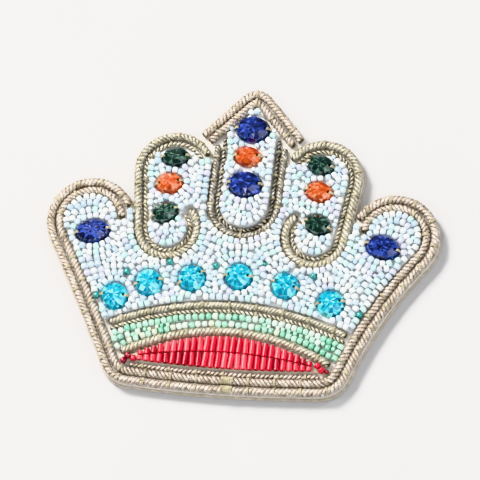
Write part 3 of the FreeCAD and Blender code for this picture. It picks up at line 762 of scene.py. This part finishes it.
# ---------------------------------------------------------------- seed beads
BEAD_ACROSS = 1.9 * MM
BEAD_LONG = 1.45 * MM
BEAD_STEPS = 9              # faces round a bead
ROW_PITCH = 1.8 * MM        # between rows of beads
ROW_DEPTH = 0.3 * MM        # how far the middles of one row may stray inwards
BEAD_PITCH = 1.62 * MM      # along a row
EDGE_CLEAR = 0.52 * MM      # from a bead's middle to the region's edge, nestled against the cord
FILLER = 0.7                # the size of the small beads that fill gaps, as a part of the others'
GROUND_CELL = 0.2 * MM      # spacing of the spots that a bead may be sewn on
EDGE_STEP = 0.25 * MM       # spacing of the points that stand for a region's edge
DOME_REACH = 5.0 * MM       # from a region's edge to where its beads stand at full height
BEAD_TURN, BEAD_TILT = 0.1, 0.09    # how crooked beads lie, in radians
BEAD_SPREAD = 0.025         # how much they differ in size, as a part of it
BEAD_LIFT = 0.04 * MM       # and in height
TINT_SPREAD = 0.05          # and in lightness
# half of a bead cut through its hole: along the hole and away from it, as parts of its half sizes
BEAD_PROFILE = (
    (0.7, 0.42), (1.0, 0.66), (0.74, 0.92), (0.0, 1.0), (-0.74, 0.92), (-1.0, 0.66), (-0.7, 0.42),
)


def bead_pattern():
    """One seed bead, its thread hole along X: a barrel with rounded shoulders, turned about its hole."""
    bpy.ops.object.select_all(action="DESELECT")
    bpy.ops.mesh.primitive_circle_add(vertices=len(BEAD_PROFILE), radius=BEAD_ACROSS / 2)
    bead = bpy.context.object
    for vert, (along, away) in zip(bead.data.vertices, BEAD_PROFILE):
        vert.co = (along * BEAD_LONG / 2, away * BEAD_ACROSS / 2, 0)
    bpy.ops.object.mode_set(mode="EDIT")
    bpy.ops.mesh.select_all(action="SELECT")
    bpy.ops.mesh.spin(steps=BEAD_STEPS, angle=TURN, axis=(1, 0, 0), center=(0, 0, 0))
    bpy.ops.mesh.select_all(action="SELECT")
    bpy.ops.mesh.remove_doubles(threshold=0.001 * MM)
    bpy.ops.mesh.normals_make_consistent(inside=False)
    return taken(bead)


class Region:
    """The ground that beads cover: a grid of spots, with how far each lies from the edge and which
    way the edge runs there."""

    def __init__(self, node):
        sides = [side for loop in rim_loops(node) for side in zip(loop, np.roll(loop, -1, axis=0))]
        edge = []
        for start, end in sides:
            count = max(1, math.ceil(np.linalg.norm(end - start) / EDGE_STEP))
            edge += [start + (end - start) * step / count for step in range(count)]
        tree = KDTree(len(edge))
        for index, spot in enumerate(edge):
            tree.insert((*spot, 0), index)
        tree.balance()
        low, high = np.min(edge, axis=0), np.max(edge, axis=0)
        columns = np.arange(low[0], high[0], GROUND_CELL)
        rows = np.arange(low[1], high[1], GROUND_CELL)
        grid = np.stack(np.meshgrid(columns, rows), axis=-1).reshape(-1, 2)
        # a spot is inside if a line from it to the right crosses the edge an odd number of times
        inside = np.zeros(len(grid), bool)
        for start, end in sides:
            spans = (start[1] > grid[:, 1]) != (end[1] > grid[:, 1])
            if start[1] != end[1]:
                cross = start[0] + (grid[:, 1] - start[1]) * (end[0] - start[0]) / (end[1] - start[1])
                inside ^= spans & (grid[:, 0] < cross)
        self.spots = grid[inside]
        near = [tree.find((*spot, 0)) for spot in self.spots]
        self.clear = np.array([hit[2] for hit in near])
        away = unit(self.spots - np.array([hit[0][:2] for hit in near]))
        self.along = np.stack([-away[:, 1], away[:, 0]], axis=1)


def bead_rows(region, rng):
    """Beads in rows that follow the region's edge, from the outside in, and small ones in the gaps:
    the index of each bead's spot, and its size."""
    seats, sizes = [], []
    free = region.clear > EDGE_CLEAR
    free_small = region.clear > EDGE_CLEAR * FILLER

    def put(index, size):
        """Seat a bead, and block the ground too near it."""
        seats.append(index)
        sizes.append(size)
        gap = np.linalg.norm(region.spots - region.spots[index], axis=1)
        free[gap < BEAD_PITCH * (1 + size) / 2] = False
        free_small[gap < BEAD_PITCH * (FILLER + size) / 2] = False

    ring = EDGE_CLEAR
    while ring < region.clear.max():
        band = (region.clear >= ring) & (region.clear < ring + ROW_DEPTH)
        last = None
        while True:
            open_spots = np.flatnonzero(free & band)
            if not len(open_spots):
                break
            if last is None:
                last = open_spots[0]
            gaps = np.linalg.norm(region.spots[open_spots] - region.spots[last], axis=1)
            last = open_spots[np.argmin(gaps + 2 * region.clear[open_spots])]
            put(last, 1.0)
        ring += ROW_PITCH
    for ground, size in ((free, 1.0), (free_small, FILLER)):
        while ground.any():
            open_spots = np.flatnonzero(ground)
            put(open_spots[rng.integers(len(open_spots))], size)
    return np.array(seats), np.array(sizes)


def bead_places(region, seats, sizes, base, dome, rng):
    """Matrix and offset of each bead: laid along its row, a little crooked, raised over the pad."""
    places = []
    for seat, size in zip(seats, sizes):
        direction = region.along[seat]
        turn = math.atan2(direction[1], direction[0]) + rng.normal(0, BEAD_TURN)
        tilt = rng.normal(0, BEAD_TILT)
        grow = size * (1 + rng.normal(0, BEAD_SPREAD))
        matrix = np.array(Matrix.Rotation(turn, 3, "Z") @ Matrix.Rotation(tilt, 3, "Y")) * grow
        rise = dome * min(1.0, region.clear[seat] / DOME_REACH) ** 0.5 + rng.normal(0, BEAD_LIFT)
        places.append((matrix, np.array((*region.spots[seat], base + BEAD_ACROSS * size / 2 + rise))))
    return places


def random_tints(hexes, shares, count, rng):
    """A tint for each bead, drawn from a mixed lot, each a little lighter or darker."""
    lot = np.array([linear(colour) for colour in hexes])
    chosen = lot[rng.choice(len(lot), count, p=np.array(shares) / sum(shares))]
    chosen[:, :3] = np.clip(chosen[:, :3] * (1 + rng.normal(0, TINT_SPREAD, count))[:, None], 0, 1)
    return chosen


PEARL_LOT = ("#f7fbfc", "#e4f2f8", "#e9e9f5", "#dcf5f2", "#fdfefc", "#d0e3ee", "#f0eeea")
PEARL_SHARES = (34, 22, 9, 13, 14, 6, 4)
MINT_LOT = ("#a8d9c0", "#c6e6d6", "#e6f0e6", "#85c6a9", "#dbdfca", "#93b9a7")
MINT_SHARES = (30, 26, 18, 12, 10, 4)
TEAL = "#2c8c87"
ACCENT_RISE = 4.3 * MM      # from the line of round stones up to the teal beads between them
ACCENT_LEFT = 5.6 * MM      # from the first round stone's middle out to its teal bead
ACCENT_RIGHT = 7.5 * MM     # and from the last one's


def accent_spots():
    """Where single teal beads are mixed in: above each gap in the row of round stones, and past its
    two ends."""
    row = [sum(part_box(f"turquoise_stone_{number}"), Vector()) / 2 for number in range(1, 7)]
    row = np.array([place[:2] for place in row])
    gaps = (row[1:] + row[:-1]) / 2
    ahead = unit(np.diff(row, axis=0))
    above = gaps + np.stack([-ahead[:, 1], ahead[:, 0]], axis=1) * ACCENT_RISE
    ends = np.array([row[0] - ahead[0] * ACCENT_LEFT, row[-1] + ahead[-1] * ACCENT_RIGHT])
    return np.vstack([above, ends])


def bead_work(node, pattern, material, lot, shares, dome, seed, accents=()):
    """The beads that cover one padded region, standing in for its plain slab. Dome is how much higher
    those in its middle stand."""
    rng = np.random.default_rng(seed)
    region = Region(node)
    seats, sizes = bead_rows(region, rng)
    places = bead_places(region, seats, sizes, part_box(node)[0].z, dome, rng)
    tints = random_tints(lot, shares, len(places), rng)
    for accent in accents:
        nearest = np.argsort(np.linalg.norm(region.spots[seats] - accent, axis=1))[0]
        tints[nearest] = linear(TEAL)
    piece = copies(f"{node}_sewn", pattern, places, material, tints)
    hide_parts(node)


BEAD = bead_pattern()
bead_work("field_beads", BEAD, PEARL, PEARL_LOT, PEARL_SHARES,
          dome=0.35 * MM, seed=11, accents=accent_spots())
bead_work("panel_beads", BEAD, PEARL, PEARL_LOT, PEARL_SHARES, dome=0.25 * MM, seed=12)
bead_work("band_beads", BEAD, MINT, MINT_LOT, MINT_SHARES, dome=0.3 * MM, seed=13)


# ---------------------------------------------------------------- red glass tubes
TUBE_BORE = 0.35 * MM       # radius of the bore
TUBE_SIDES = 10
TUBE_EASE = 0.2             # how far its cut rims are eased, as a part of its radius
TUBE_TURN = 0.04            # how crooked tubes lie, in radians
RED_LOT = ("#d61f3f", "#ee3553", "#ff5d74", "#ac1532")
RED_SHARES = (34, 32, 18, 16)
DARK_RED = "#8f1230"        # the seed beads that fill the lens's two points


def tube_pattern(radius):
    """A short tube bead along Y, as long as its radius, its cut rims eased. Each copy is drawn out."""
    bpy.ops.object.select_all(action="DESELECT")
    bpy.ops.mesh.primitive_cylinder_add(vertices=TUBE_SIDES, radius=radius, depth=radius,
                                        rotation=(math.pi / 2, 0, 0))
    tube = bpy.context.object
    bpy.ops.object.transform_apply(rotation=True)
    bpy.ops.object.mode_set(mode="EDIT")
    pick_faces(tube, lambda middle, normal: abs(normal.y) > FACING)
    bpy.ops.mesh.inset(thickness=radius - TUBE_BORE, use_individual=True)
    bpy.ops.mesh.bridge_edge_loops()
    bpy.ops.mesh.select_mode(type="EDGE")
    bpy.ops.mesh.select_all(action="DESELECT")
    mesh = bmesh.from_edit_mesh(tube.data)
    halfway = (TUBE_BORE + radius) / 2
    for edge in mesh.edges:
        lengthwise = abs(edge.verts[0].co.y - edge.verts[1].co.y) > LEVEL
        reach = min(math.hypot(vert.co.x, vert.co.z) for vert in edge.verts)
        edge.select_set(reach > halfway and not lengthwise)
    bmesh.update_edit_mesh(tube.data)
    bpy.ops.mesh.bevel(offset=radius * TUBE_EASE, segments=1, affect="EDGES")
    return taken(tube)


def red_tube_work():
    """Every tube of the red lens, at its own place and length and a little crooked."""
    rng = np.random.default_rng(21)
    tubes = islands("red_tubes")
    radius = float(np.ptp(tubes[0][:, 0])) / 2
    pattern = tube_pattern(radius)
    points = pattern[0]
    tints = random_tints(RED_LOT, RED_SHARES, len(tubes), rng)
    lot = []
    for tube in tubes:
        low, high = tube.min(0), tube.max(0)
        stretch = (high[1] - low[1] - radius) / 2
        drawn = points + np.sign(points[:, 1:2]) * np.array((0, stretch, 0))
        turn = np.array(Matrix.Rotation(rng.normal(0, TUBE_TURN), 3, "Z"))
        lot.append(drawn @ turn.T + (low + high) / 2)
    piece = tinted_lot("red_tubes_sewn", pattern, lot, RED_GLASS, tints)
    only(piece)
    bpy.ops.object.shade_smooth_by_angle(angle=SMOOTH_UNDER)
    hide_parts("red_tubes")


def lens_point_work():
    """Red seed beads in the two points of the lens, past the last tubes."""
    rng = np.random.default_rng(22)
    region = Region("lens_padding")
    seats, sizes = bead_rows(region, rng)
    low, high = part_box("red_tubes")
    across = region.spots[seats][:, 0]
    past = (across < low.x - BEAD_LONG / 2) | (across > high.x + BEAD_LONG / 2)
    places = bead_places(region, seats[past], sizes[past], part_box("lens_padding")[1].z, 0, rng)
    tints = random_tints((DARK_RED, RED_LOT[0]), (2, 1), len(places), rng)
    copies("lens_point_beads", BEAD, places, RED_GLASS, tints)


red_tube_work()
lens_point_work()


# ---------------------------------------------------------------- cut stones
STONE_SIDES = 16
GIRDLE = 0.2                # height of the girdle, as a part of the stone's
CUT = ((0.567, 0.84), (0.233, 0.52 / 0.84))    # rise of each tier, and how much it draws in
STAR_EDGE = 0.09            # the rim round the star in the table, as a part of the stone across
HOLE_RADIUS = 0.45 * MM
HOLE_SIDES = 10
HOLE_DEEP = 8.0 * MM        # length of the cutter, through the whole stone
HOLE_IN = 1.15 * MM         # from the stone's end to the middle of its sewing hole
LIGHT_RINGS = 9             # rings of flat facets that are lit apart, in one length of the stone
LIGHT_SKEW = 1.3            # over 1, so that more facets are deep than bright


def stone_pattern():
    """A cut stone one unit long, wide and high: a low girdle, two tiers of three-cornered facets
    and a star cut into the table."""
    bpy.ops.object.select_all(action="DESELECT")
    bpy.ops.mesh.primitive_cylinder_add(vertices=STONE_SIDES, radius=0.5, depth=GIRDLE,
                                        location=(0, 0, GIRDLE / 2))
    stone = bpy.context.object
    bpy.ops.object.transform_apply(location=True)
    bpy.ops.object.mode_set(mode="EDIT")
    half_step = math.pi / STONE_SIDES
    pick_faces(stone, lambda middle, normal: normal.z > FACING)
    for rise, share in CUT:
        bpy.ops.mesh.extrude_region_move(TRANSFORM_OT_translate={"value": (0, 0, rise)})
        bpy.ops.transform.resize(value=(share, share, 1))
        bpy.ops.transform.rotate(value=half_step, orient_axis="Z", center_override=(0, 0, 1))
    bpy.ops.mesh.inset(thickness=STAR_EDGE)
    bpy.ops.transform.rotate(value=half_step, orient_axis="Z", center_override=(0, 0, 1))
    bpy.ops.mesh.poke()
    pick_faces(stone, lambda middle, normal: middle.z > GIRDLE * 1.05)
    bpy.ops.mesh.quads_convert_to_tris(quad_method="SHORTEST_DIAGONAL")
    return taken(stone)


def scatter(values):
    """A number from 0 to 1 for each row of values, as good as random but always the same."""
    return np.mod(np.sin(values @ np.array((12.9898, 78.233, 37.719))) * 43758.5453, 1.0)


def set_stone(node, pattern, material):
    """One stone, stretched, turned and placed as its node, with its two sewing holes."""
    solid = np.array([vert.co[:] for vert in NODES[node].data.vertices])
    middle, axis = long_axis(solid)
    side = np.array((-axis[1], axis[0]))
    length = np.ptp((solid[:, :2] - middle) @ axis)
    width = np.ptp((solid[:, :2] - middle) @ side)
    low, high = solid[:, 2].min(), solid[:, 2].max()
    points, faces = pattern
    edges = np.array(((*axis * length, 0), (*side * width, 0), (0, 0, high - low)))
    stone = piece_from(f"{node}_cut", points @ edges + np.array((*middle, low)), faces, material)
    for end in (-1, 1):
        drill(stone, middle + axis * end * (length / 2 - HOLE_IN), low)
    normals = np.array([polygon.normal[:] for polygon in stone.data.polygons])
    centres = np.array([polygon.center[:2] for polygon in stone.data.polygons]) - middle
    across, along = centres @ side / width, centres @ axis / length
    light_up(stone, normals, across, along)
    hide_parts(node)
    return middle, axis, length, low, high


def drill(stone, spot, floor_height):
    """A sewing hole straight down through a stone."""
    only(stone)
    bpy.ops.mesh.primitive_cylinder_add(vertices=HOLE_SIDES, radius=HOLE_RADIUS, depth=HOLE_DEEP,
                                        location=(*spot, floor_height))
    cutter = bpy.context.object
    hole = stone.modifiers.new("sewing_hole", "BOOLEAN")
    hole.object = cutter
    hole.operation = "DIFFERENCE"
    only(stone)
    bpy.ops.object.modifier_apply(modifier=hole.name)
    bpy.data.objects.remove(cutter)


def light_up(stone, normals, across, along):
    """Each facet's share of the foil's light. Facets are told apart by the way they face, and those
    that lie flat by the sector and the ring of the stone that they are in."""
    sector = np.floor(np.arctan2(across, along) / TURN * 2 * STONE_SIDES)
    ring = np.floor(np.hypot(along, across) * LIGHT_RINGS)
    level = np.stack([sector, ring, np.zeros(len(ring))], axis=1)
    keys = np.where(normals[:, 2:] > 0.99, level, np.round(normals, 2) * 3)
    sparkle = stone.data.attributes.new("sparkle", "FLOAT", "FACE")
    sparkle.data.foreach_set("value", (scatter(keys) ** LIGHT_SKEW).astype(np.float32))


TIE_APART = 0.17 * MM       # from the middle of a tie to each of its two threads
TIE_RADIUS = 0.15 * MM
TIE_STEP = 0.35 * MM
# a tie's way: how far out from the hole's middle, and how high, as a part of the stone's height
TIE_ROUTE = (
    (0.0, 0.2),
    (0.0, 0.72),
    (0.35 * MM, 0.86),
    (HOLE_IN * 0.95, 0.66),
    (HOLE_IN + 0.25 * MM, 0.3),
    (HOLE_IN + 0.2 * MM, 0.0),
)


def tie_threads(middle, axis, length, low, high):
    """Doubled threads out of each sewing hole, over the stone's end and down to the cloth."""
    threads = []
    across = np.array((-axis[1], axis[0], 0))
    for end in (-1, 1):
        out = np.append(axis * end, 0)
        hole = np.array((*middle, low)) + out * (length / 2 - HOLE_IN)
        route = np.array([hole + out * reach + UP * (high - low) * rise for reach, rise in TIE_ROUTE])
        line, _ = even_line(route, TIE_STEP)
        for side in (-1, 1):
            threads.append((line + across * side * TIE_APART, np.tile(across, (len(line), 1)), TIE_RADIUS))
    return threads


FINISHES = {
    "blue_stone": BLUE_STONE,
    "green_stone": GREEN_STONE,
    "orange_stone": ORANGE_STONE,
    "turquoise_stone": TURQUOISE_STONE,
}
STONE = stone_pattern()
ties = []
for stone_node in sorted(name for name in NODES if "_stone_" in name):
    slot_name = stone_node[:stone_node.index("_stone_")] + "_stone"
    ties += tie_threads(*set_stone(stone_node, STONE, FINISHES[slot_name]))
tubes_piece("stone_tie_threads", ties, THREAD_SIDES, THREAD)


# ---------------------------------------------------------------- table, lights and camera
CENTRE = (CAD_BOX[0] + CAD_BOX[1]) / 2
AZIMUTH, ELEVATION, ROLL = (math.radians(angle) for angle in (26.9, 67.4, -21.6))
LENS, SENSOR = 250.0, 36.0
FRAME_SHARE = 0.84          # of the picture's width that the crown fills
TABLE_SIDE = 4.0
TABLE_GAP = 0.1 * MM        # from the table up to the felt, so that the two don't share a plane


def floor():
    """A wide pale table under the crown."""
    bpy.ops.object.select_all(action="DESELECT")
    bpy.ops.mesh.primitive_plane_add(size=TABLE_SIDE, location=(0, 0, -TABLE_GAP))
    table = bpy.context.object
    table.name = "table_top"
    bpy.ops.object.transform_apply(location=True)
    table.data.materials.append(TABLE)


def area_light(name, direction, distance, size, watts, colour):
    """A square light aimed at the crown: its distance and size in metres, its power in watts."""
    data = bpy.data.lights.new(name, "AREA")
    data.size = size
    data.energy = watts
    data.color = linear(colour)[:3]
    light = in_scene(name, data)
    away = Vector(direction).normalized()
    light.location = CENTRE + away * distance
    light.rotation_euler = away.to_track_quat("Z", "Y").to_euler()


def studio():
    """A key light, a large weaker fill, three small lights that put sparks on the glass, and an even
    pale surround."""
    area_light("key_light", (-0.55, 0.5, 0.9), distance=0.9, size=0.3, watts=15.0, colour="#fffcf8")
    area_light("fill_light", (0.8, -0.5, 0.8), distance=1.1, size=0.9, watts=5.0, colour="#f6f9ff")
    for number, direction in enumerate(((0.5, 0.45, 1.0), (-0.1, -0.7, 1.0), (-0.8, -0.2, 0.9)), start=1):
        area_light(f"spark_light_{number}", direction, distance=0.8, size=0.04, watts=1.2, colour="#ffffff")
    world = bpy.data.worlds.new("pale_surround")
    bpy.context.scene.world = world
    world.use_nodes = True
    background = world.node_tree.nodes["Background"]
    background.inputs["Color"].default_value = linear("#eef1f5")
    background.inputs["Strength"].default_value = 0.45
    bpy.context.scene.view_settings.view_transform = "Khronos PBR Neutral"


def camera():
    """A long lens, looking down on the crown from its lower right."""
    data = bpy.data.cameras.new("camera")
    data.lens = LENS
    data.sensor_width = SENSOR
    eye = in_scene("camera", data)
    back = Vector((math.sin(AZIMUTH) * math.cos(ELEVATION), -math.cos(AZIMUTH) * math.cos(ELEVATION),
                   math.sin(ELEVATION)))
    width = CAD_BOX[1].x - CAD_BOX[0].x
    distance = width / FRAME_SHARE * LENS / SENSOR
    eye.rotation_mode = "QUATERNION"
    eye.rotation_quaternion = Quaternion(back, ROLL) @ (-back).to_track_quat("-Z", "Y")
    eye.location = CENTRE + back * distance
    data.clip_start, data.clip_end = 0.01, 10.0
    bpy.context.scene.camera = eye


floor()
studio()
camera()
